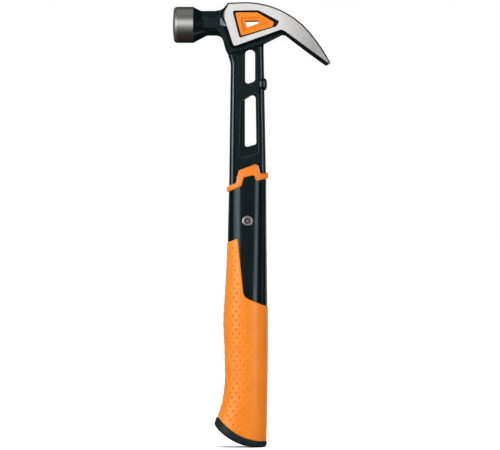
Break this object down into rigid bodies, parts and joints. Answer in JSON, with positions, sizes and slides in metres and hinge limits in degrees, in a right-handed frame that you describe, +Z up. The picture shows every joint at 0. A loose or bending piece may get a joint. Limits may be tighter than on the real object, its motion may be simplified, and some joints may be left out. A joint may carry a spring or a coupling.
{
  "type": "claw hammer",
  "caption": "Curved-claw hammer with a one-piece forged head and slotted shank, held through an elastomer sleeve in a hard shell with a soft flared grip.",
  "frame": {"origin": "under the middle of the hammer in X and Y, at the lowest point of the end cap", "axes": "+Z up the handle to the head, -X to the striking face, +X to the claw, Y across the thickness with Y = 0 the mirror plane"},
  "size_m": [0.1215, 0.0284, 0.343],
  "materials": {
    "forged_steel": "ground bare on the poll, cheeks and claw, black paint on the neck, bevels and shank",
    "insert_plastic": "orange, smooth moulded",
    "sleeve_elastomer": "orange, satin moulded",
    "fastener_steel": "turned and polished",
    "grip_rubber": "orange, soft touch with small dimples",
    "shell_plastic": "black, semi-gloss moulded",
    "core_plastic": "light foamed core, hidden",
    "cap_plastic": "black, matte moulded"
  },
  "bodies": {
    "root": {"head_and_shank": "forged_steel", "cheek_insert_left": "insert_plastic", "cheek_insert_right": "insert_plastic", "isolation_sleeve": "sleeve_elastomer", "tang_end_cushion": "sleeve_elastomer", "bolt_bushing": "sleeve_elastomer", "pin_bushing": "sleeve_elastomer", "lower_pin": "fastener_steel", "bolt_sleeve_nut": "fastener_steel", "bolt_screw": "fastener_steel", "grip_sleeve": "grip_rubber", "shell_left": "shell_plastic", "shell_right": "shell_plastic", "core_left": "core_plastic", "core_right": "core_plastic", "end_cap": "cap_plastic"}
  },
  "joints": []
}
